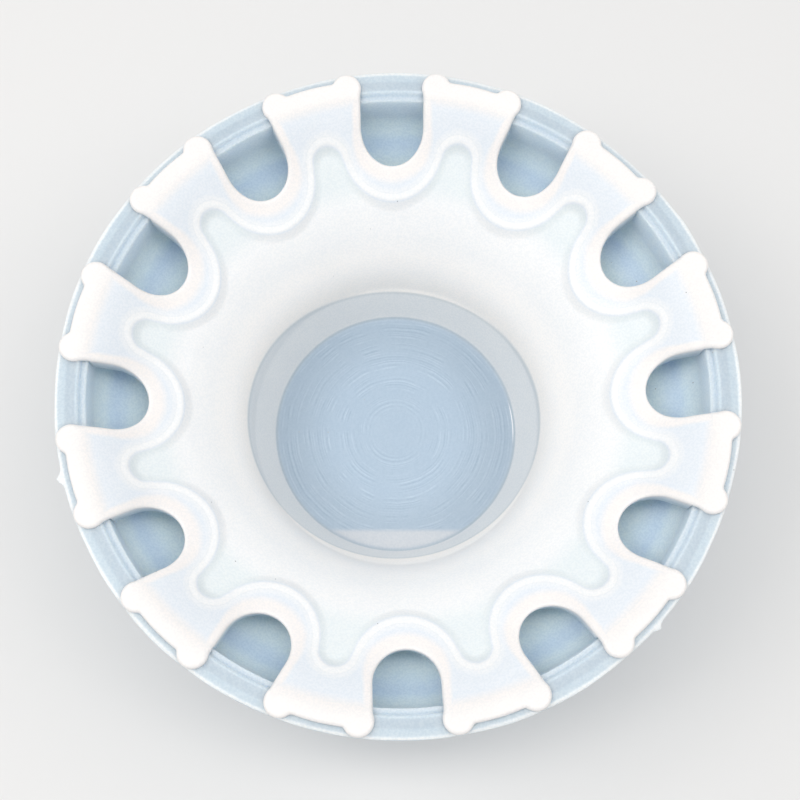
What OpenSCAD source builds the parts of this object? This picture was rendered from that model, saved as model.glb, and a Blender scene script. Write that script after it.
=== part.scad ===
// Two-part silicone casting mould for a bowl with a scalloped rim.
// Origin: centre of the flat underside of the base mould, +Z up.

/* [Overall] */
// Outer diameter of the base mould's rim
mould_d = 130; // [120:1:150]
// Depth from the rim's flat top to the floor of the core's pit
core_depth = 40; // [36:1:46]
// Thickness of the cast bowl, left open between the two pieces
cast_gap = 4.6; // [3.5:0.1:5.5]

/* [Base mould] */
// Thickness of the silicone wall and floor
base_wall = 2.6; // [2:0.1:3.5]
// Width of the rim's flat top
rim_w = 4.3; // [3.5:0.1:5]
// Height of the thick part of the rim
rim_h = 6; // [4:0.5:8]
// Width of the small step inside the rim
step_w = 1.4; // [1:0.1:2]
// Depth of the small step inside the rim
step_h = 1; // [0.8:0.1:1.4]

/* [Core insert] */
// Number of teeth, and of pour gaps between them
teeth = 12; // [12]
// Thickness of the core's shell at the pit and funnel
core_wall = 2.6; // [2:0.1:3.5]
// Thickness of the teeth
tooth_h = 4.6; // [4:0.1:5]
// Height of the tooth ends above the rim they rest on
ear_h = 1.6; // [1.2:0.1:2.4]
// Radius of the rounded lobe at each corner of a tooth
ear_r = 2.9; // [2.4:0.1:3.1]
// How far the tooth end is set back from the lobes
ear_lead = 1.6; // [1:0.1:2]
// Radius of the round end of a pour gap
gap_r = 6.3; // [5.5:0.1:6.5]
// Distance from the mould's axis to the centre of a gap's round end
gap_centre_r = 54.9; // [54:0.1:56]
// Direction of the first gap
gap_start = 91.5; // [90:0.5:105]
// Radius of the pit's floor
pit_floor_r = 26; // [24:0.5:27]
// Radius of the pit's mouth
pit_mouth_r = 30; // [29:0.1:31]
// Depth of the pit below its mouth
pit_depth = 8.5; // [7:0.5:10]
// Radius of each scallop of the step that runs round the gaps
scallop_r = 10.7; // [10:0.1:11.5]
// Distance from the mould's axis to the centre of a scallop
scallop_centre_r = 52.4; // [52:0.1:53]
// Height of that step
bead_h = 1; // [0.6:0.1:1.4]

/* [Hidden] */
$fn = 96;

// Clearance between the core's skirt and the base mould
fit = 0.4;
rim_r = mould_d / 2;
rim_in_r = rim_r - rim_w;
foot_r = rim_in_r - step_w;
rim_z = core_depth + core_wall + cast_gap + base_wall;
skirt_r = foot_r - fit;
pit_z = rim_z - core_depth;
mouth_z = pit_z + pit_depth;
gap_end_r = gap_centre_r - gap_r;
step_r = scallop_centre_r - scallop_r;
// The cone under the teeth: its height at the gaps' round ends and at the step
brow_z = rim_z - 8;
terrace_z = rim_z - 11.6;
// The knee, where the steep funnel turns into the cone
knee_r = 35.5;
knee_z = rim_z - 18.5;
ear_centre_r = rim_r - ear_r - 0.1;
// How far each lobe stands out into the gap beside it
ear_bulge = 0.25;
tooth_end_r = rim_r - ear_lead;
// Distance from the mould's axis to the centre of a finger's round end
finger_r = 49.9;
arc_steps = 8;

// Points along a cubic Bezier curve from a to d, without its first point
function bezier(a, b, c, d) = [
    for (i = [1 : arc_steps])
        let (t = i / arc_steps, u = 1 - t)
            u * u * u * a + 3 * u * u * t * b + 3 * u * t * t * c + t * t * t * d
];

// Top of the core from its axis to the step: pit floor, pit wall, funnel
function funnel_top() = concat(
    [[0, pit_z], [pit_floor_r, pit_z], [pit_mouth_r, mouth_z]],
    bezier([pit_mouth_r, mouth_z], [pit_mouth_r + 1.2, mouth_z + 6],
           [knee_r - 2.8, knee_z - 3.6], [knee_r, knee_z]),
    bezier([knee_r, knee_z], [knee_r + 2.3, knee_z + 3],
           [step_r - 2, terrace_z - bead_h - 1.5], [step_r, terrace_z - bead_h])
);

// Top of the teeth, outside the step, from the given radius to the rim
function tooth_top() = concat(
    [[step_r - 1, terrace_z - 0.6], [gap_end_r, brow_z]],
    bezier([gap_end_r, brow_z], [gap_end_r + 4.5, brow_z + 2.8],
           [foot_r - 3, rim_z - 0.6], [rim_in_r, rim_z + ear_h / 2]),
    [[rim_r, rim_z + ear_h]]
);

// Underside of the core, from its skirt back to the step
function tooth_under() = [
    [rim_r, rim_z],
    [rim_in_r - step_w / 2, rim_z],
    [skirt_r, rim_z - step_h + fit],
    [skirt_r, rim_z - tooth_h],
    [gap_end_r, brow_z - tooth_h]
];

function funnel_under() = concat(
    [[knee_r + 1.6, knee_z - core_wall - 0.4]],
    bezier([knee_r + 1.6, knee_z - core_wall - 0.4], [knee_r - 1, knee_z - core_wall - 4],
           [pit_mouth_r + core_wall + 1, mouth_z + 5], [pit_mouth_r + core_wall, mouth_z - 1]),
    [[pit_floor_r + core_wall, pit_z - core_wall], [0, pit_z - core_wall]]
);

// Plan of one pour gap, open outwards
module gap_plan() {
    translate([gap_centre_r, 0]) {
        circle(r = gap_r);
        translate([0, -gap_r]) square([rim_r - gap_centre_r + gap_r, 2 * gap_r]);
    }
}

module at_each_gap() {
    for (i = [0 : teeth - 1])
        rotate(gap_start + i * 360 / teeth) children();
}

// Plan of the core: a disc with a gap between the teeth and two round lobes
// on the end of each tooth
module star_plan() {
    lobe_y = gap_r + ear_r - ear_bulge;
    difference() {
        circle(r = tooth_end_r);
        at_each_gap() gap_plan();
    }
    at_each_gap() {
        for (side = [-1, 1])
            translate([sqrt(ear_centre_r ^ 2 - lobe_y ^ 2), side * lobe_y])
                circle(r = ear_r);
    }
}

// Plan of the funnel inside the step: a scalloped disc that reaches out into
// each tooth as a short round finger
module scallop_plan() {
    half_pitch = 180 / teeth;
    neck_x = scallop_centre_r * cos(half_pitch) - finger_r;
    // The finger's round end is a little wider than the neck it ends
    finger_w = norm([neck_x, scallop_centre_r * sin(half_pitch)]) - scallop_r + 0.15;
    difference() {
        circle(r = finger_r);
        at_each_gap() translate([scallop_centre_r, 0]) circle(r = scallop_r);
    }
    at_each_gap()
        rotate(half_pitch) translate([finger_r, 0]) circle(r = finger_w);
}

// Base mould: a round dish whose inside follows the core at a distance of
// cast_gap, with a thick rim that the teeth rest on
module base_mould() {
    well_r = pit_mouth_r + core_wall + cast_gap;
    well_foot_r = pit_floor_r + core_wall + cast_gap;
    shelf_z = brow_z - tooth_h - cast_gap;
    slope_r = knee_r + 7;
    slope_z = knee_z - core_wall - cast_gap;
    inside = concat(
        [[0, base_wall], [well_foot_r - 4, base_wall]],
        bezier([well_foot_r - 4, base_wall], [well_foot_r - 1.5, base_wall],
               [well_foot_r, base_wall + 1.5], [well_foot_r + 0.5, base_wall + 4]),
        bezier([well_foot_r + 0.5, base_wall + 4], [well_r, base_wall + 10],
               [slope_r - 4, slope_z - 6], [slope_r, slope_z]),
        bezier([slope_r, slope_z], [slope_r + 2, slope_z + 3],
               [gap_end_r - 3, shelf_z - 1.5], [gap_end_r, shelf_z]),
        bezier([gap_end_r, shelf_z], [gap_end_r + 5, shelf_z + 2.4],
               [foot_r, shelf_z + 4], [foot_r, shelf_z + 9.5]),
        [[foot_r, rim_z - step_h], [rim_in_r - 0.3, rim_z - step_h], [rim_in_r, rim_z]]
    );
    outside = concat(
        [[rim_r, rim_z], [rim_r, rim_z - rim_h]],
        bezier([rim_r, rim_z - rim_h], [rim_r, rim_z - rim_h - 2],
               [foot_r + base_wall, rim_z - rim_h - 1], [foot_r + base_wall, rim_z - rim_h - 4]),
        bezier([foot_r + base_wall, rim_z - rim_h - 4], [foot_r + base_wall - 1, shelf_z - 0.5],
               [gap_end_r + 5, shelf_z - base_wall], [gap_end_r, shelf_z - base_wall - 1.6]),
        bezier([gap_end_r, shelf_z - base_wall - 1.6], [slope_r + 2, slope_z - 0.5],
               [well_r + base_wall, base_wall + 9], [well_foot_r + base_wall, base_wall + 1]),
        bezier([well_foot_r + base_wall, base_wall + 1], [well_foot_r + base_wall - 0.5, 0.8],
               [well_foot_r + base_wall - 1.4, 0], [well_foot_r + base_wall - 2.6, 0]),
        [[0, 0]]
    );
    color([0.72, 0.8, 0.86])
        rotate_extrude() polygon(concat(inside, outside));
}

// Core insert: the removable piece that shapes the inside of the bowl. Its
// teeth stand on the rim and leave the pour gaps between them.
module core_insert() {
    lap = 3.5;
    rise = lap * (rim_z - brow_z) / (skirt_r - gap_end_r);
    hub = concat(funnel_top(), [[gap_end_r + lap, brow_z - bead_h + rise]],
                 [[gap_end_r + lap, brow_z - tooth_h + rise + 1.2], [gap_end_r, brow_z - tooth_h - 0.5]],
                 funnel_under());
    crown = concat(tooth_top(), tooth_under(), [[step_r - 1, terrace_z - tooth_h + 0.6]]);
    color([0.95, 0.97, 0.98])
        intersection() {
            union() {
                rotate_extrude() polygon(hub);
                difference() {
                    rotate_extrude() polygon(crown);
                    linear_extrude(rim_z * 2) scallop_plan();
                }
            }
            linear_extrude(rim_z * 2) star_plan();
        }
}

base_mould();
core_insert();
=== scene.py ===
"""Looks of the two-part silicone casting mould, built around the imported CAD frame."""
import math

import bmesh
import bpy
import numpy as np
from mathutils import Matrix, Vector, geometry


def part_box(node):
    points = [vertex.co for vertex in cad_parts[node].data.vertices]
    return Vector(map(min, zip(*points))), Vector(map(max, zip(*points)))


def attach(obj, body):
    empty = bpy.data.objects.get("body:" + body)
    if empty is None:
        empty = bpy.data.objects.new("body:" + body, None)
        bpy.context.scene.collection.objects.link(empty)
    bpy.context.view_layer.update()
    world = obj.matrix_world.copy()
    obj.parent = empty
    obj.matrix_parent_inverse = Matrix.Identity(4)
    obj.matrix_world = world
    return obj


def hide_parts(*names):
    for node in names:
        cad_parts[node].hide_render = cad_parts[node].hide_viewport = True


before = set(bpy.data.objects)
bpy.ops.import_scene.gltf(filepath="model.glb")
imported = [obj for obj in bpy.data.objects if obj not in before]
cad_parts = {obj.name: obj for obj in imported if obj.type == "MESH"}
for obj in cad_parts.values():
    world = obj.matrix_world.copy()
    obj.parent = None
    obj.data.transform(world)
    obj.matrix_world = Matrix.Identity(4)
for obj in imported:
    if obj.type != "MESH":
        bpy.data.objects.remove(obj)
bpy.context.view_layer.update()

MM = 0.001
TEETH = 12
PITCH = math.radians(360 / TEETH)
GAP_START = math.radians(91.5)

# Driving sizes in millimetres, the same as the CAD's
RIM_R = 65.0
RIM_W = 4.3
RIM_H = 6.0
STEP_W = 1.4
STEP_H = 1.0
BASE_WALL = 2.6
CAST_GAP = 4.6
CORE_WALL = 2.6
TOOTH_H = 4.6
EAR_H = 1.6
EAR_R = 2.9
EAR_LEAD = 1.6
EAR_BULGE = 0.25
GAP_R = 6.3
GAP_CENTRE_R = 54.9
SCALLOP_R = 10.7
SCALLOP_CENTRE_R = 52.4
FINGER_R = 49.9
PIT_FLOOR_R = 26.0
PIT_MOUTH_R = 30.0
PIT_DEPTH = 8.5
CORE_DEPTH = 40.0
BEAD_H = 1.0
KNEE_R = 35.5
FIT = 0.4
# Depths below the rim of three places on the core's upper surface: the teeth at the gaps' round ends, the step
# and the knee where the steep funnel ends
BROW_DEPTH = 8.0
TERRACE_DEPTH = 11.6
KNEE_DEPTH = 18.5
LOBE_INSET = 0.1

RIM_Z = round(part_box("base_mould")[1][2] / MM, 3)
RIM_IN_R = RIM_R - RIM_W
FOOT_R = RIM_IN_R - STEP_W
SKIRT_R = FOOT_R - FIT
SKIRT_ROWS = (SKIRT_R, SKIRT_R + 0.1)
PIT_Z = RIM_Z - CORE_DEPTH
MOUTH_Z = PIT_Z + PIT_DEPTH
GAP_END_R = GAP_CENTRE_R - GAP_R
STEP_R = SCALLOP_CENTRE_R - SCALLOP_R
BROW_Z = RIM_Z - BROW_DEPTH
TERRACE_Z = RIM_Z - TERRACE_DEPTH
KNEE_Z = RIM_Z - KNEE_DEPTH
EAR_CENTRE_R = RIM_R - EAR_R - LOBE_INSET
TOOTH_END_R = RIM_R - EAR_LEAD
FINGER_W = math.hypot(SCALLOP_CENTRE_R * math.cos(PITCH / 2) - FINGER_R,
                      SCALLOP_CENTRE_R * math.sin(PITCH / 2)) - SCALLOP_R
# Where the crown, made by half sectors, meets the turned funnel, and the steps of that seam in a half sector
SEAM_R = 38.6
SEAM_STEPS = 16
# Radius of the rounded lip along the core's edge
FILLET = 0.8
BASE_SEGMENTS = 576
CURVE_STEPS = 24
# Stretch of the fine polylines that are smoothed or measured from
FINE = 0.05
SHARP_ANGLE = math.radians(35)


def bezier(a, b, c, d):
    """Points along a cubic Bezier curve, both ends included."""
    t = np.linspace(0, 1, CURVE_STEPS + 1)[:, None]
    a, b, c, d = (np.array(p, float) for p in (a, b, c, d))
    return (1 - t) ** 3 * a + 3 * (1 - t) ** 2 * t * b + 3 * (1 - t) * t ** 2 * c + t ** 3 * d


def dense(points, step):
    """The same polyline with no stretch longer than step."""
    out = [points[0]]
    for a, b in zip(points[:-1], points[1:]):
        n = max(1, int(math.ceil(np.linalg.norm(b - a) / step)))
        out.extend(a + (b - a) * k / n for k in range(1, n + 1))
    return np.array(out)


def soften(values, width):
    """Values on an even grid, smoothed by a bell curve that wide."""
    reach = int(width * 3)
    kernel = np.exp(-0.5 * (np.arange(-reach, reach + 1) / width) ** 2)
    padded = np.pad(values, reach, mode="reflect", reflect_type="odd")
    return np.convolve(padded, kernel / kernel.sum(), mode="valid")


# Heights of the core's two surfaces by radius, on an even grid
GRID = np.arange(30.0, 68.0, FINE)


def by_radius(points, width):
    """Heights on GRID of a profile given as points, with its bends softened."""
    return soften(np.interp(GRID, points[:, 0], points[:, 1]), width)


slope = (BROW_Z - TERRACE_Z) / (GAP_END_R - STEP_R)
funnel = np.vstack([
    bezier((PIT_MOUTH_R, MOUTH_Z), (PIT_MOUTH_R + 1.2, MOUTH_Z + 6),
           (KNEE_R - 2.8, KNEE_Z - 3.6), (KNEE_R, KNEE_Z)),
    bezier((KNEE_R, KNEE_Z), (KNEE_R + 2.3, KNEE_Z + 3),
           (STEP_R - 2, TERRACE_Z - BEAD_H - 1.5), (STEP_R, TERRACE_Z - BEAD_H)),
    [(STEP_R + 14, TERRACE_Z - BEAD_H + 14 * slope * 1.15)],
])
tooth = np.vstack([
    [(STEP_R - 6, TERRACE_Z - 6 * slope)],
    bezier((GAP_END_R, BROW_Z), (GAP_END_R + 4.5, BROW_Z + 2.8),
           (FOOT_R - 3, RIM_Z - 0.6), (RIM_IN_R, RIM_Z + EAR_H / 2)),
    [(RIM_R + 3, RIM_Z + EAR_H)],
])
INNER_Z = by_radius(funnel, 8)
OUTER_Z = by_radius(tooth, 22)
UNDER_Z = by_radius(np.array([
    (KNEE_R - 2, KNEE_Z - CORE_WALL - 3.5),
    (KNEE_R + 1.6, KNEE_Z - CORE_WALL - 0.4),
    (GAP_END_R, BROW_Z - TOOTH_H),
    (SKIRT_R, RIM_Z - TOOTH_H),
    (SKIRT_R + 4, RIM_Z - TOOTH_H + 2),
]), 10)


def smooth_min(a, b, width):
    """The smaller of two values, with a rounded change from one to the other."""
    h = np.clip(0.5 + 0.5 * (b - a) / width, 0, 1)
    return b + (a - b) * h - width * h * (1 - h)


def bead_distance(x, y):
    """Distance inside the scalloped step: positive over the funnel, negative on the teeth."""
    r, angle = np.hypot(x, y), np.arctan2(np.abs(y), x)
    scallop = np.hypot(r * np.cos(angle) - SCALLOP_CENTRE_R, r * np.sin(angle)) - SCALLOP_R
    along, across = r * np.cos(PITCH / 2 - angle), r * np.sin(PITCH / 2 - angle)
    # Short of the finger's round end the limit opens up quickly, so the scallops take over
    past = along - FINGER_R
    finger = FINGER_W - np.hypot(np.maximum(past, 0), across) + 3 * np.maximum(-past, 0)
    return smooth_min(scallop, finger, 0.5)


def step_up(value, low, high):
    """0 below low and 1 above high, with a smooth rise between."""
    t = np.clip((value - low) / (high - low), 0, 1)
    return t * t * (3 - 2 * t)


def core_top(x, y):
    """Height of the core's upper surface."""
    r = np.hypot(x, y)
    d = bead_distance(x, y)
    inside = step_up(d, -0.65, 1.1)
    z = np.interp(r, GRID, OUTER_Z) * (1 - inside) + np.interp(r, GRID, INNER_Z) * inside
    lip = 0.12 * np.exp(-((d + 0.85) / 0.5) ** 2)
    return z + lip


def core_bottom(x, y):
    """Height of the core's underside; beyond the skirt it slopes up to rest on the rim."""
    r = np.hypot(x, y)
    lap = np.interp(r, (SKIRT_R, RIM_IN_R - STEP_W / 2), (RIM_Z - STEP_H + FIT, RIM_Z + 0.02))
    return np.where(r > SKIRT_R + 0.05, lap, np.interp(r, GRID, UNDER_Z))


def half_outline():
    """The core's edge from the middle of a gap's round end to the middle of a tooth's end."""
    lobe_y = GAP_R + EAR_R - EAR_BULGE
    lobe_x = math.sqrt(EAR_CENTRE_R ** 2 - lobe_y ** 2)
    turn = np.linspace(math.pi, math.pi / 2, 40)
    arc = np.c_[GAP_CENTRE_R + GAP_R * np.cos(turn), GAP_R * np.sin(turn)]
    # The lobe's circle runs from where it leaves the gap's side to the tooth's set-back end
    first = -math.pi / 2 - math.acos((EAR_R - EAR_BULGE) / EAR_R)
    sweep = np.linspace(first, math.pi * 0.9, 400)
    lobe = np.c_[lobe_x + EAR_R * np.cos(sweep), lobe_y + EAR_R * np.sin(sweep)]
    radius = np.hypot(lobe[:, 0], lobe[:, 1])
    peak = int(np.argmax(radius))
    lobe = lobe[:peak + int(np.argmax(radius[peak:] < TOOTH_END_R))]
    ends = np.linspace(math.atan2(lobe[-1][1], lobe[-1][0]), PITCH / 2, 20)[1:]
    # The set-back end swells a little in its middle
    swell = 0.1 * np.sin(np.linspace(0, math.pi / 2, 19))
    end = np.c_[(TOOTH_END_R + swell) * np.cos(ends), (TOOTH_END_R + swell) * np.sin(ends)]
    path = even(dense(np.vstack([arc, lobe, end]), FINE), 0.2)
    # Points exactly where the underside steps up onto the rim
    for r in SKIRT_ROWS:
        radii = np.hypot(path[:, 0], path[:, 1])
        k = int(np.argmax(radii > r))
        share = (r - radii[k - 1]) / (radii[k] - radii[k - 1])
        path = np.insert(path, k, path[k - 1] + (path[k] - path[k - 1]) * share, axis=0)
    return path


def fold_out(path):
    """The path with its mirror images before and after it, about the sector's two rays."""
    before = path[::-1] * [1, -1]
    c, s = math.cos(PITCH), math.sin(PITCH)
    flip = np.array([[c, s], [s, -c]])
    after = path[::-1] @ flip.T
    return np.vstack([before[:-1], path, after[1:]])


def even(path, step):
    """Corners softened, and points an even step apart, with the two ends kept on their rays."""
    whole = fold_out(path)
    length = np.r_[0, np.cumsum(np.linalg.norm(np.diff(whole, axis=0), axis=1))]
    part = len(path) - 1
    fine = np.arange(0, length[-1], FINE)
    xy = np.c_[np.interp(fine, length, whole[:, 0]), np.interp(fine, length, whole[:, 1])]
    xy = np.c_[soften(xy[:, 0], 5), soften(xy[:, 1], 5)]
    start, stop = length[part], length[2 * part]
    n = int(round((stop - start) / step))
    at = np.linspace(start, stop, n + 1)
    out = np.c_[np.interp(at, fine, xy[:, 0]), np.interp(at, fine, xy[:, 1])]
    out[0, 1] = 0
    r = np.hypot(*out[-1])
    out[-1] = r * math.cos(PITCH / 2), r * math.sin(PITCH / 2)
    return out


def normals_of(path):
    """Unit normals of the half outline that point into the core."""
    whole = fold_out(path)
    tangent = np.gradient(whole, axis=0)[len(path) - 1: 2 * len(path) - 1]
    normal = np.c_[-tangent[:, 1], tangent[:, 0]]
    return normal / np.linalg.norm(normal, axis=1)[:, None]


def hex_grid(spacing, keep):
    """A triangular grid over one half sector, at the points that keep() accepts."""
    xs = np.arange(36, 66, spacing)
    ys = np.arange(0, 20, spacing * math.sqrt(3) / 2)
    gx, gy = np.meshgrid(xs, ys)
    gx = gx + (np.arange(len(ys)) % 2)[:, None] * spacing / 2
    points = np.c_[gx.ravel(), gy.ravel()]
    return points[keep(points)]


def nearest(points, path):
    """Distance of each point from the nearest point of a path."""
    best = np.full(len(points), 1e9)
    for p in path:
        best = np.minimum(best, np.hypot(points[:, 0] - p[0], points[:, 1] - p[1]))
    return best


def triangulate(loop, rows, inside):
    """Triangles over one half sector: its boundary, inner rows of points, and free points."""
    points, edges = [Vector(p) for p in loop], []
    for row in rows:
        first = len(points)
        points += [Vector(p) for p in row]
        edges += [(first + k, first + k + 1) for k in range(len(row) - 1)]
    points += [Vector(p) for p in inside]
    face = list(range(len(loop)))
    result = geometry.delaunay_2d_cdt(points, edges, [face], 1, 1e-7)
    return np.array([tuple(v) for v in result[0]]), [tuple(f) for f in result[2]]


class Shape:
    """Collects vertices and faces of one piece, in millimetres."""

    def __init__(self):
        self.points, self.faces, self.count = [], [], 0

    def add(self, points, faces):
        self.points.append(np.asarray(points, float))
        self.faces += [tuple(self.count + k for k in f) for f in faces]
        self.count += len(points)

    def revolve(self, profile, segments, start):
        """A surface of revolution; the profile runs with the outside of the solid on its left."""
        angle = start + np.linspace(0, 2 * math.pi, segments, endpoint=False)
        rows = [np.c_[r * np.cos(angle), r * np.sin(angle), np.full(segments, z)] for r, z in profile]
        faces = []
        for i in range(len(profile) - 1):
            for k in range(segments):
                n, row, above = (k + 1) % segments, i * segments, (i + 1) * segments
                faces.append((row + k, row + n, above + n, above + k))
        self.add(np.vstack(rows), faces)

    def build(self, name, body, node):
        """Makes the Blender object, sets its name, hides the CAD part it replaces and rides it on its body."""
        mesh = bpy.data.meshes.new(name)
        bm = bmesh.new()
        verts = [bm.verts.new(p * MM) for p in np.vstack(self.points)]
        for f in self.faces:
            try:
                bm.faces.new([verts[k] for k in f])
            except ValueError:
                continue
        bmesh.ops.remove_doubles(bm, verts=bm.verts, dist=2e-6)
        bmesh.ops.dissolve_degenerate(bm, edges=bm.edges, dist=1e-7)
        bmesh.ops.recalc_face_normals(bm, faces=bm.faces)
        bm.to_mesh(mesh)
        bm.free()
        mesh.shade_smooth()
        mesh.set_sharp_from_angle(angle=SHARP_ANGLE)
        obj = bpy.data.objects.new(name, mesh)
        bpy.context.scene.collection.objects.link(obj)
        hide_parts(node)
        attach(obj, body)
        return obj


def in_polygon(points, loop):
    """Which points lie inside a closed loop."""
    x, y = points[:, 0], points[:, 1]
    inside = np.zeros(len(points), bool)
    for (x0, y0), (x1, y1) in zip(loop, np.roll(loop, -1, axis=0)):
        crosses = (y0 > y) != (y1 > y)
        rise = y1 - y0 if y1 != y0 else 1.0
        inside ^= crosses & (x < (x1 - x0) * (y - y0) / rise + x0)
    return inside


def on_ray(r, angle):
    """Points at those radii on the ray at that angle."""
    r = np.atleast_1d(r)
    return np.c_[r * math.cos(angle), r * math.sin(angle)]


def half_loop(edge, far_radii):
    """Boundary of a half sector of the crown: the edge, the tooth's middle, the seam, the gap's middle."""
    arc = np.linspace(PITCH / 2, 0, SEAM_STEPS + 1)
    seam = np.c_[SEAM_R * np.cos(arc), SEAM_R * np.sin(arc)]
    near = np.linspace(SEAM_R, edge[0][0], 26)[1:-1]
    return np.vstack([edge, on_ray(far_radii, PITCH / 2), seam, on_ray(near, 0)])


def lip_rows(edge):
    """Rows that follow the edge at growing distances, for its rounded lip."""
    normal = normals_of(edge)
    rows = []
    for turn in np.linspace(0, math.pi / 2, 6)[1:]:
        row = edge + normal * FILLET * (1 - math.cos(turn))
        row[0, 1] = 0
        row[-1] = on_ray(np.hypot(*row[-1]), PITCH / 2)[0]
        rows.append(row)
    return rows


def crown_parts():
    """Upper surface, underside and edge wall of one half sector: (points, faces) each."""
    edge = half_outline()
    end_r = np.hypot(*edge[-1])
    loop = half_loop(edge, np.linspace(end_r, SEAM_R, 60)[1:-1])

    def free(points, clear=FILLET + 0.12):
        angle = np.arctan2(points[:, 1], points[:, 0])
        r = np.hypot(points[:, 0], points[:, 1])
        ok = (r > SEAM_R + 0.3) & (points[:, 1] > 0.18) & (r * np.sin(PITCH / 2 - angle) > 0.18)
        return ok & in_polygon(points, loop) & (nearest(points, edge) > clear)

    def by_bead(points):
        d = bead_distance(points[:, 0], points[:, 1])
        return (d > -2.2) & (d < 1.4)

    inner = np.vstack([
        hex_grid(0.27, lambda p: free(p) & by_bead(p)),
        hex_grid(0.5, lambda p: free(p) & ~by_bead(p)),
    ])
    xy, top_faces = triangulate(loop, lip_rows(edge), inner)
    d = np.clip(nearest(xy, dense(edge, FINE)), 0, FILLET)
    drop = FILLET - np.sqrt(FILLET ** 2 - (FILLET - d) ** 2)
    top = np.c_[xy, core_top(xy[:, 0], xy[:, 1]) - drop]

    skirt = [np.hypot(edge[:, 0], edge[:, 1]).searchsorted(r) for r in SKIRT_ROWS]
    arcs = []
    for k in skirt:
        first = math.atan2(edge[k][1], edge[k][0])
        r = np.hypot(*edge[k])
        arcs.append(np.vstack([on_ray(r, a) for a in np.linspace(first, PITCH / 2, 24)]))
    far = np.r_[np.linspace(end_r, SKIRT_ROWS[1], 8)[1:], np.linspace(SKIRT_R, SEAM_R, 30)[:-1]]
    under_loop = half_loop(edge, far)
    skirt_r = sum(SKIRT_ROWS) / 2
    under = hex_grid(0.9, lambda p: free(p, 0.3) & (np.abs(np.hypot(p[:, 0], p[:, 1]) - skirt_r) > 0.3))
    xy, bottom_faces = triangulate(under_loop, arcs, under)
    bottom = np.c_[xy, core_bottom(xy[:, 0], xy[:, 1])]

    high = np.c_[edge, core_top(edge[:, 0], edge[:, 1]) - FILLET]
    low = np.c_[edge, core_bottom(edge[:, 0], edge[:, 1])]
    shares, n = (0, 0.25, 0.5, 0.75, 0.96, 1), len(edge)
    wall = np.vstack([high + (low - high) * share for share in shares])
    wall_faces = [
        (i * n + k, (i + 1) * n + k, (i + 1) * n + k + 1, i * n + k + 1)
        for i in range(len(shares) - 1) for k in range(n - 1)
    ]
    return (top, top_faces), (bottom, bottom_faces), (wall, wall_faces)


def relaxed(path, spacing, width=0.4):
    """A profile with its corners rounded by about that width, and rows spacing apart."""
    fine = dense(np.array(path, float), FINE)
    smooth = np.c_[soften(fine[:, 0], width / FINE), soften(fine[:, 1], width / FINE)]
    length = np.r_[0, np.cumsum(np.linalg.norm(np.diff(smooth, axis=0), axis=1))]
    at = np.linspace(0, length[-1], int(length[-1] / spacing) + 1)
    return np.c_[np.interp(at, length, smooth[:, 0]), np.interp(at, length, smooth[:, 1])]


def core_hollow():
    """Funnel, pit wall and pit floor, from the seam to the axis."""
    curve = funnel[funnel[:, 0] < SEAM_R - 0.3][::-1]
    seam_z = float(np.interp(SEAM_R, GRID, INNER_Z))
    path = [(SEAM_R, seam_z), *curve, (PIT_FLOOR_R, PIT_Z), (0, PIT_Z)]
    return relaxed(path, 0.4)


def core_belly():
    """Underside of the funnel and pit, from the seam to the axis."""
    seam_z = float(np.interp(SEAM_R, GRID, UNDER_Z))
    curve = bezier((KNEE_R + 1.6, KNEE_Z - CORE_WALL - 0.4), (KNEE_R - 1, KNEE_Z - CORE_WALL - 4),
                   (PIT_MOUTH_R + CORE_WALL + 1, MOUTH_Z + 5), (PIT_MOUTH_R + CORE_WALL, MOUTH_Z - 1))
    floor_z = PIT_Z - CORE_WALL
    path = [(SEAM_R, seam_z), *curve, (PIT_FLOOR_R + CORE_WALL, floor_z), (0, floor_z)]
    return relaxed(path, 0.6)


def build_core():
    """The core insert: its toothed crown by half sectors, then the funnel and pit turned round."""
    shape = Shape()
    parts = crown_parts()
    for i in range(TEETH):
        c, s = math.cos(GAP_START + i * PITCH), math.sin(GAP_START + i * PITCH)
        for side in (1, -1):
            for points, faces in parts:
                x, y = points[:, 0], points[:, 1] * side
                shape.add(np.c_[c * x - s * y, s * x + c * y, points[:, 2]], faces)
    shape.revolve(core_hollow(), 2 * SEAM_STEPS * TEETH, GAP_START)
    shape.revolve(core_belly(), 2 * SEAM_STEPS * TEETH, GAP_START)
    return shape.build("core_insert_silicone", "core", "core_insert")


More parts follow.
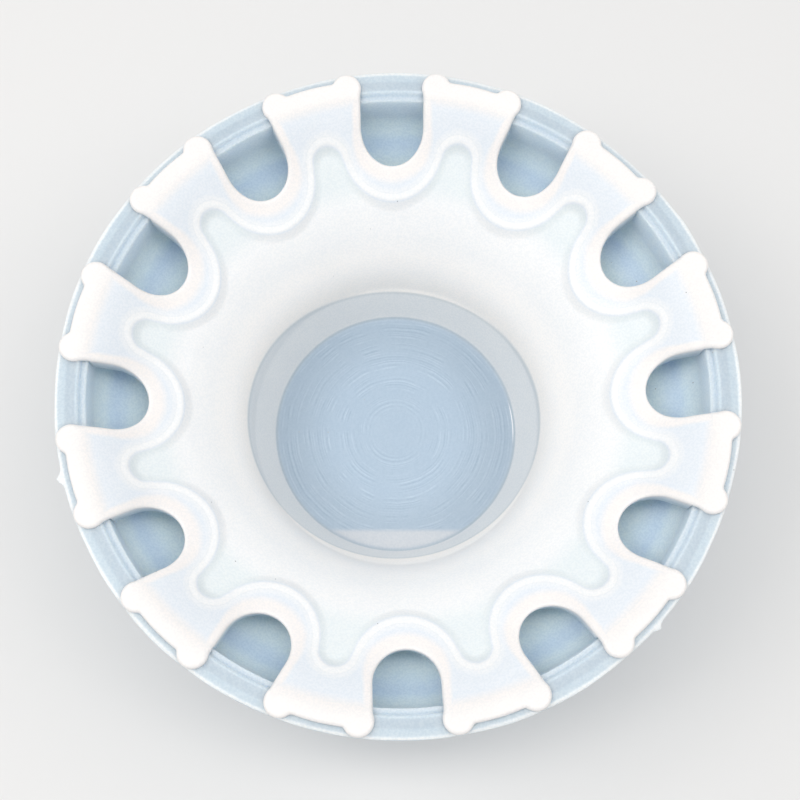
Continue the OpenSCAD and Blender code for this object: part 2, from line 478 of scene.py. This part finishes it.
def base_profile():
    """Section of the base mould, up its inside, over the rim and down its outside."""
    well_r = PIT_MOUTH_R + CORE_WALL + CAST_GAP
    foot = PIT_FLOOR_R + CORE_WALL + CAST_GAP
    shelf_z = BROW_Z - TOOTH_H - CAST_GAP
    slope_r, slope_z = KNEE_R + 7, KNEE_Z - CORE_WALL - CAST_GAP
    wall = BASE_WALL
    return np.vstack([
        [(0, wall)],
        bezier((foot - 4, wall), (foot - 1.5, wall), (foot, wall + 1.5), (foot + 0.5, wall + 4)),
        bezier((foot + 0.5, wall + 4), (well_r, wall + 10), (slope_r - 4, slope_z - 6), (slope_r, slope_z)),
        bezier((slope_r, slope_z), (slope_r + 2, slope_z + 3),
               (GAP_END_R - 3, shelf_z - 1.5), (GAP_END_R, shelf_z)),
        bezier((GAP_END_R, shelf_z), (GAP_END_R + 5, shelf_z + 2.4),
               (FOOT_R, shelf_z + 4), (FOOT_R, shelf_z + 9.5)),
        [(FOOT_R, RIM_Z - STEP_H), (RIM_IN_R - 0.3, RIM_Z - STEP_H), (RIM_IN_R, RIM_Z)],
        [(RIM_R, RIM_Z), (RIM_R, RIM_Z - RIM_H)],
        bezier((RIM_R, RIM_Z - RIM_H), (RIM_R, RIM_Z - RIM_H - 2),
               (FOOT_R + wall, RIM_Z - RIM_H - 1), (FOOT_R + wall, RIM_Z - RIM_H - 4)),
        bezier((FOOT_R + wall, RIM_Z - RIM_H - 4), (FOOT_R + wall - 1, shelf_z - 0.5),
               (GAP_END_R + 5, shelf_z - wall), (GAP_END_R, shelf_z - wall - 1.6)),
        bezier((GAP_END_R, shelf_z - wall - 1.6), (slope_r + 2, slope_z - 0.5),
               (well_r + wall, wall + 9), (foot + wall, wall + 1)),
        bezier((foot + wall, wall + 1), (foot + wall - 0.5, 0.8),
               (foot + wall - 1.4, 0), (foot + wall - 2.6, 0)),
        [(0, 0)],
    ])


# Leftovers on the rim's edge: direction in degrees, half width and height in millimetres
NUBS = ((196, 0.9, 1.15), (-43.7, 0.7, 0.8), (31, 2.4, 0.18))


def trim_marks(points):
    """The rim's edge as it was trimmed by hand: a slight waver, two small nubs of flash and a low bulge."""
    x, y, z = points.T
    r, angle = np.hypot(x, y), np.arctan2(y, x)
    top = step_up(z, RIM_Z - 2.4, RIM_Z - 0.2) * step_up(r, RIM_R - 1.2, RIM_R - 0.1)
    out = 0.07 * np.sin(5 * angle + 1) + 0.05 * np.sin(11 * angle + 2) + 0.03 * np.sin(29 * angle)
    for at, width, height in NUBS:
        along = (np.mod(angle - math.radians(at) + math.pi, 2 * math.pi) - math.pi) * RIM_R
        out = out + height * np.exp(-(along / width) ** 2)
    grow = 1 + top * out / r.clip(1)
    return np.c_[x * grow, y * grow, z]


def build_base():
    """The base mould, one surface of revolution."""
    shape = Shape()
    shape.revolve(relaxed(base_profile(), 0.25, 0.24), BASE_SEGMENTS, GAP_START)
    shape.points[0] = trim_marks(shape.points[0])
    return shape.build("base_mould_silicone", "base", "base_mould")


def srgb(r, g, b):
    """A colour given as 0 to 255 screen values, as the shader wants it."""
    def linear(v):
        v /= 255
        return v / 12.92 if v <= 0.04045 else ((v + 0.055) / 1.055) ** 2.4
    return linear(r), linear(g), linear(b), 1


# Colours of the silicone: thin sheets look blue, thick ones white; those marked below paint light and shade
PIT_BLUE_MID = srgb(201, 216, 229)
PIT_BLUE = srgb(193, 207, 219)
# Painted shade in the crease at the pit floor's edge
PIT_EDGE_SHADE = srgb(180, 193, 204)
# Painted reflection of the lamp on the pit floor's near side
PIT_LAMP_REFLECTION = srgb(200, 205, 211)
# Painted highlight where the pit floor meets the wall
GLINT = srgb(255, 255, 255)
PIT_WALL = srgb(226, 229, 231)
# Painted shade along the edge of the pit's mouth
MOUTH_EDGE_SHADE = srgb(213, 218, 221)
FUNNEL_LOW = srgb(255, 250, 245)
FUNNEL_MID = srgb(255, 253, 251)
FUNNEL_HIGH = srgb(245, 246, 247)
FINGER = srgb(235, 241, 243)
THIN = srgb(234, 239, 245)
THICK = srgb(248, 244, 242)
LINE = srgb(245, 246, 247)
WALL_TOP = srgb(230, 236, 240)
WALL_FOOT = srgb(194, 210, 221)
UNDERSIDE = srgb(240, 244, 247)
OUTSIDE = srgb(213, 227, 237)
DISH_DEEP = srgb(228, 241, 249)
# Painted light: the floor between the teeth is lighter towards the middle, where the teeth shade it
DISH_IN_LIT = srgb(233, 246, 255)
DISH_OUT = srgb(219, 235, 249)
DISH_WALL = srgb(231, 244, 254)
STEP = srgb(214, 226, 235)
# Painted highlight on the corner where the rim steps down
RIM_STEP_HIGHLIGHT = srgb(210, 223, 232)
RIM = srgb(198, 210, 219)
# Painted lighter beyond the tooth ends, against the shade they cast on the rim
RIM_OUT_LIT = srgb(207, 219, 227)
# Painted highlight along the rim's rounded outer edge
RIM_EDGE_HIGHLIGHT = srgb(246, 251, 254)


class Nodes:
    """Short forms for building a material."""

    def __init__(self, name):
        self.material = bpy.data.materials.new(name)
        self.material.use_nodes = True
        self.tree = self.material.node_tree
        self.shader = self.tree.nodes["Principled BSDF"]

    def new(self, kind, **inputs):
        """A node with inputs set or linked, by name or as i and the socket's number."""
        node = self.tree.nodes.new(kind)
        for key, value in inputs.items():
            socket = node.inputs[int(key[1:])] if key[0] == "i" and key[1:].isdigit() else node.inputs[key]
            self.feed(value, socket)
        return node

    def feed(self, value, socket):
        """Links a node's output to the socket, or sets the socket to a plain value."""
        if isinstance(value, bpy.types.NodeSocket):
            self.tree.links.new(value, socket)
        else:
            socket.default_value = value

    def math(self, operation, a, b=0.0, c=0.0):
        node = self.new("ShaderNodeMath", i0=a, i1=b, i2=c)
        node.operation = operation
        return node.outputs[0]

    def ramp(self, value, stops):
        """A colour by a value from 0 to 1; the stops are (value, colour)."""
        node = self.new("ShaderNodeValToRGB", i0=value)
        node.color_ramp.interpolation = "EASE"
        while len(node.color_ramp.elements) < len(stops):
            node.color_ramp.elements.new(0.5)
        for element, (at, colour) in zip(node.color_ramp.elements, stops):
            element.position = at
            element.color = colour
        return node.outputs[0]

    def mix(self, factor, a, b, blend="MIX"):
        node = self.new("ShaderNodeMix")
        node.data_type = "RGBA"
        node.blend_type = blend
        for index, value in ((0, factor), (6, a), (7, b)):
            self.feed(value, node.inputs[index])
        return node.outputs[2]

    def by(self, value, unit, *stops):
        """A ramp over a value, its stops given as (value in that unit, colour)."""
        low, high = stops[0][0] - 1, stops[-1][0] + 1
        span = high - low
        share = self.math("DIVIDE", self.math("SUBTRACT", value, low * unit), span * unit)
        return self.ramp(share, [((at - low) / span, colour) for at, colour in stops])

    def attribute(self, name):
        node = self.new("ShaderNodeAttribute")
        node.attribute_name = name
        return node.outputs["Fac"]

    def place(self):
        """Place on the mould, in metres: x, y and the distance from the axis."""
        where = self.new("ShaderNodeTexCoord").outputs["Object"]
        x, y, _ = self.new("ShaderNodeSeparateXYZ", i0=where).outputs
        r = self.math("SQRT", self.math("ADD", self.math("MULTIPLY", x, x), self.math("MULTIPLY", y, y)))
        return x, y, r


def vertex_data(obj):
    """Places in millimetres and normals of the vertices: x, y, z and three components."""
    place, normal = (np.empty(len(obj.data.vertices) * 3) for _ in range(2))
    obj.data.vertices.foreach_get("co", place)
    obj.data.vertices.foreach_get("normal", normal)
    return (*(place.reshape(-1, 3).T / MM), *normal.reshape(-1, 3).T)


def mark(obj, **layers):
    """Stores values on the vertices for the material to read."""
    for name, values in layers.items():
        layer = obj.data.attributes.new(name, "FLOAT", "POINT")
        layer.data.foreach_set("value", values.astype(np.float32))


def mark_core(obj):
    """Distances in millimetres from the core's edge, from the step and below the top; which faces look down."""
    x, y, z, *_, up = vertex_data(obj)
    r = np.hypot(x, y)
    angle = np.mod(np.arctan2(y, x) - GAP_START, PITCH)
    angle = np.minimum(angle, PITCH - angle)
    fx, fy = r * np.cos(angle), r * np.sin(angle)
    outer = r > SEAM_R
    edge = np.full(len(r), 20.0)
    edge[outer] = nearest(np.c_[fx, fy][outer], dense(half_outline(), 0.1))
    deep = np.where(outer, core_top(fx, fy) - z, 0)
    under = np.where(outer, z < core_bottom(fx, fy) + 0.02, up < 0)
    mark(obj, edge_mm=edge, step_mm=bead_distance(fx, fy), deep_mm=deep, under=under)


def mark_base(obj):
    """Which faces of the dish look outwards or down."""
    x, y, z, nx, ny, up = vertex_data(obj)
    outwards = (nx * x + ny * y) / np.hypot(x, y).clip(1)
    mark(obj, under=np.clip((outwards - up) * 1.5, 0, 1))


# Shares, as the colour ramps hold them
NONE, HALF, FULL = ((v, v, v, 1) for v in (0, 0.5, 1))


def shade(n, colour, factor, tint):
    """The colour times tint where factor is 1, and unchanged where it is 0."""
    return n.mix(factor, colour, n.mix(1.0, colour, srgb(*tint), "MULTIPLY"))


def silicone(n, colour, roughness, milk, reach, mottle, relief):
    """The finish that both pieces share: soft, milky, faintly uneven, with a few specks.

    milk is the weight of the light scattered under the surface and reach how far it goes, in metres; mottle
    is the strength of the fine flecks, and relief a height from 0 to 1 for the tool rings.
    """
    place = n.new("ShaderNodeTexCoord").outputs["Object"]
    cloud = n.new("ShaderNodeTexNoise", Vector=place, Scale=90.0, Detail=3.0).outputs["Fac"]
    tint = n.ramp(cloud, [(0.3, (0.975, 0.98, 0.985, 1)), (0.7, FULL)])
    colour = n.mix(1.0, colour, tint, "MULTIPLY")
    fine = n.new("ShaderNodeTexNoise", Vector=place, Scale=2400.0, Detail=1.0).outputs["Fac"]
    fine = n.ramp(fine, [(0.36, FULL), (0.64, NONE)])
    colour = shade(n, colour, n.math("MULTIPLY", fine, mottle), (236, 241, 245))
    cells = n.new("ShaderNodeTexVoronoi", Vector=place, Scale=260.0)
    rare = n.math("GREATER_THAN", cells.outputs["Color"], 0.7)
    speck = n.math("MULTIPLY", rare, n.math("LESS_THAN", cells.outputs["Distance"], 0.035))
    colour = n.mix(speck, colour, srgb(176, 180, 186))
    n.tree.links.new(colour, n.shader.inputs["Base Color"])
    rough = n.new("ShaderNodeMapRange", Value=cloud)
    rough.inputs["To Min"].default_value = roughness - 0.05
    rough.inputs["To Max"].default_value = roughness + 0.06
    n.tree.links.new(rough.outputs[0], n.shader.inputs["Roughness"])
    grain = n.new("ShaderNodeTexNoise", Vector=place, Scale=1900.0, Detail=2.0).outputs["Fac"]
    bump = n.new("ShaderNodeBump", Height=grain, Strength=0.12, Distance=0.00005)
    rings = n.new("ShaderNodeBump", Height=relief, Strength=0.25, Distance=0.00006)
    n.tree.links.new(rings.outputs[0], bump.inputs["Normal"])
    n.tree.links.new(bump.outputs[0], n.shader.inputs["Normal"])
    n.shader.inputs["Subsurface Weight"].default_value = milk
    n.shader.inputs["Subsurface Radius"].default_value = (1.0, 0.95, 0.9)
    n.shader.inputs["Subsurface Scale"].default_value = reach
    n.shader.inputs["IOR"].default_value = 1.41
    n.shader.inputs["Specular IOR Level"].default_value = 0.45


# Tool rings to the metre of radius, and how many of them the slow drift shifts them by
RINGS = 2200.0
RING_DRIFT = 2.2


def tool_rings(n, r):
    """The fine rings that the turned pattern left in the silicone, 0 to 1."""
    place = n.new("ShaderNodeTexCoord").outputs["Object"]
    drift = n.new("ShaderNodeTexNoise", Vector=place, Scale=120.0, Detail=2.0).outputs["Fac"]
    across = n.math("ADD", n.math("MULTIPLY", r, RINGS), n.math("MULTIPLY", drift, RING_DRIFT))
    rings = n.new("ShaderNodeTexNoise")
    rings.noise_dimensions = "1D"
    n.tree.links.new(across, rings.inputs["W"])
    rings.inputs["Scale"].default_value = 1.0
    rings.inputs["Detail"].default_value = 2.0
    # They come and go along their way round, and fade out towards the middle
    worn = n.new("ShaderNodeTexNoise", Vector=place, Scale=200.0, Detail=3.0).outputs["Fac"]
    worn = n.math("MULTIPLY", n.by(worn, 1, (0.38, NONE), (0.62, FULL)),
                  n.by(r, MM, (2, NONE), (9, FULL)))
    return n.mix(worn, HALF, rings.outputs[0])


def core_material():
    """Thick silicone scatters white and thin silicone looks blue, so the colour follows the thickness; a
    reflection and a glint on the pit floor, dark lines in its creases and a shadow along the step are painted
    light and shade.
    """
    n = Nodes("core_silicone")
    x, y, r = n.place()
    edge, step, deep = (n.attribute(name) for name in ("edge_mm", "step_mm", "deep_mm"))
    rings = tool_rings(n, r)
    # The funnel's white starts a little outside the pit's mouth at the sides, and inside it in front and behind
    side, back = n.math("DIVIDE", x, r), n.math("DIVIDE", y, r)
    wander = n.math("MULTIPLY", back, n.math("MULTIPLY_ADD", back, 1.8, -0.65))
    wander = n.math("ADD", wander, n.math("MULTIPLY_ADD", side, 0.375, -0.575))
    drawn = n.math("MULTIPLY_ADD", wander, MM, r)
    # The thin darker lines at the floor's edge and at the pit's mouth are painted shade in those creases
    turned = n.by(r, MM,
                  (12, PIT_BLUE_MID), (22, PIT_BLUE), (25.4, PIT_BLUE), (25.9, PIT_EDGE_SHADE), (26.3, PIT_WALL))
    funnel = n.by(drawn, MM,
                  (PIT_MOUTH_R - 0.3, PIT_WALL), (PIT_MOUTH_R, MOUTH_EDGE_SHADE), (PIT_MOUTH_R + 0.3, FUNNEL_LOW),
                  (33, FUNNEL_MID), (37.5, FUNNEL_HIGH), (42, FUNNEL_HIGH), (47, FINGER), (54, FINGER))
    turned = n.mix(n.by(r, MM, (26.4, NONE), (26.6, FULL)), turned, funnel)
    pit = n.by(r, MM, (PIT_FLOOR_R - 1, FULL), (PIT_FLOOR_R + 0.2, NONE))
    turned = shade(n, turned, n.math("MULTIPLY", pit, rings), (188, 202, 215))
    # A lighter patch on the floor's near side, a painted reflection of the lamp, and the glint where the floor
    # meets the wall, a painted highlight
    lamp_reflection = n.math("MULTIPLY", pit, n.by(y, MM, (-22.2, FULL), (-21, NONE)))
    turned = n.mix(lamp_reflection, turned, PIT_LAMP_REFLECTION)
    # The glint is a painted highlight: white on a thin arc at the floor's right edge
    glint = n.math("MULTIPLY", n.by(r, MM, (25.45, NONE), (25.6, FULL), (25.75, NONE)),
                   n.by(y, MM, (-3, NONE), (0.5, FULL), (4, FULL), (7.5, NONE)))
    glint = n.math("MULTIPLY", glint, n.math("GREATER_THAN", x, 0.0))
    turned = n.mix(glint, turned, GLINT)
    width = n.new("ShaderNodeMapRange", Value=r)
    for name, value in (("From Min", 0.049), ("From Max", 0.055), ("To Min", 3.0), ("To Max", 1.6)):
        width.inputs[name].default_value = value
    band = n.by(n.math("DIVIDE", edge, width.outputs[0]), 1, (0.7, FULL), (1.3, NONE))
    end = n.by(r, MM, (57.8, NONE), (60, FULL))
    colour = n.mix(n.math("MAXIMUM", band, end), THIN, THICK)
    step_line = n.by(step, 1, (-3, NONE), (-2.2, HALF), (-1.5, FULL), (-0.7, FULL), (-0.3, NONE))
    colour = n.mix(step_line, colour, LINE)
    colour = shade(n, colour, n.by(step, 1, (-2, NONE), (-1.8, FULL), (-1.6, NONE)), (250, 251, 252))
    colour = n.mix(n.by(step, 1, (-0.35, NONE), (-0.05, FULL)), colour, turned)
    # A thin painted shadow along the foot of the step, on the funnel side
    colour = shade(n, colour, n.by(step, 1, (-0.45, NONE), (-0.1, FULL), (0.6, NONE)), (250, 251, 252))
    # The rim's edge shows faintly through the tooth ends
    for at in (60.75, 59.35):
        line = n.by(r, MM, (at - 0.15, NONE), (at, FULL), (at + 0.15, NONE))
        colour = shade(n, colour, line, (253, 254, 254))
    colour = n.mix(n.by(deep, 1, (0.5, NONE), (2, FULL)), colour, WALL_TOP)
    colour = n.mix(n.by(deep, 1, (1.6, NONE), (4.2, FULL)), colour, WALL_FOOT)
    below = n.by(r, MM, (PIT_FLOOR_R, PIT_BLUE), (PIT_MOUTH_R, UNDERSIDE))
    colour = n.mix(n.attribute("under"), colour, below)
    silicone(n, colour, roughness=0.4, milk=0.3, reach=0.0012, mottle=0.35,
             relief=n.math("MULTIPLY", pit, rings))
    return n.material


def base_material():
    """The dish: a pale blue sheet, whiter at its rim, where it is thicker; painted light brightens its floor
    under the teeth, and painted highlights run along the rim's edges.
    """
    n = Nodes("base_silicone")
    *_, r = n.place()
    rings = tool_rings(n, r)
    # Towards the middle the floor between the teeth is painted lighter, where the teeth shade it
    colour = n.by(r, MM,
                  (43, DISH_DEEP), (47, DISH_IN_LIT), (52, DISH_IN_LIT), (56, DISH_OUT), (58, DISH_WALL),
                  (59.2, DISH_WALL), (59.6, STEP), (60.5, STEP), (60.85, RIM_STEP_HIGHLIGHT), (61.3, RIM), (62.6, RIM),
                  (63.2, RIM_OUT_LIT), (64.1, RIM_OUT_LIT), (64.7, RIM_EDGE_HIGHLIGHT))
    colour = n.mix(n.attribute("under"), colour, OUTSIDE)
    colour = shade(n, colour, rings, (250, 251, 252))
    silicone(n, colour, roughness=0.36, milk=0.85, reach=0.004, mottle=0.55, relief=rings)
    return n.material


core = build_core()
base = build_base()
mark_core(core)
mark_base(base)
core.data.materials.append(core_material())
base.data.materials.append(base_material())


LAMP_COLOUR = (1, 0.965, 0.925)
LAMP_AIM = Vector((0, 0, 0.03))


def area_light(name, place, size, power):
    """A soft rectangular light that points at the mould."""
    data = bpy.data.lights.new(name, "AREA")
    data.shape, data.energy, data.color = "RECTANGLE", power, LAMP_COLOUR
    data.size, data.size_y = size
    light = bpy.data.objects.new(name, data)
    light.location = place
    light.rotation_euler = (LAMP_AIM - Vector(place)).to_track_quat("-Z", "Y").to_euler()
    bpy.context.scene.collection.objects.link(light)


def studio():
    """A pale floor, soft lights from above and a pale surround."""
    scene = bpy.context.scene
    bpy.ops.mesh.primitive_plane_add(size=6, location=(0, 0, -0.0002))
    floor = bpy.context.object
    floor.name = "floor"
    paper = Nodes("floor_paper")
    paper.shader.inputs["Base Color"].default_value = (0.8, 0.8, 0.8, 1)
    paper.shader.inputs["Roughness"].default_value = 0.9
    floor.data.materials.append(paper.material)
    world = bpy.data.worlds.new("surround")
    world.use_nodes = True
    background = world.node_tree.nodes["Background"]
    background.inputs["Color"].default_value = (0.97, 0.985, 1, 1)
    background.inputs["Strength"].default_value = 0.58
    scene.world = world
    area_light("overhead", (0, 0.02, 0.7), size=(0.6, 0.112), power=1.34)
    area_light("left", (-0.42, 0, 0.6), size=(0.35, 0.35), power=1.38)
    area_light("right", (0.42, 0, 0.6), size=(0.35, 0.35), power=0.7)
    scene.view_settings.view_transform = "Standard"


def camera():
    """Looks down at 76 degrees from the front, at twice the mould's width away."""
    scene = bpy.context.scene
    data = bpy.data.cameras.new("camera")
    data.lens, data.sensor_width = 60.0, 36.0
    distance, tilt, side = 258.5, math.radians(13.8), math.radians(1.2)
    target = Vector((0.23, -1.0, RIM_Z - 6.8))
    back = Vector((-math.sin(side) * math.cos(tilt), -math.sin(tilt), math.cos(tilt))).normalized()
    view = bpy.data.objects.new("camera", data)
    view.location = (target + back * distance) * MM
    right = Vector((0, 1, 0)).cross(back).normalized()
    view.rotation_euler = Matrix((right, back.cross(right), back)).transposed().to_euler()
    data.clip_start = 0.01
    scene.collection.objects.link(view)
    scene.camera = view


studio()
camera()
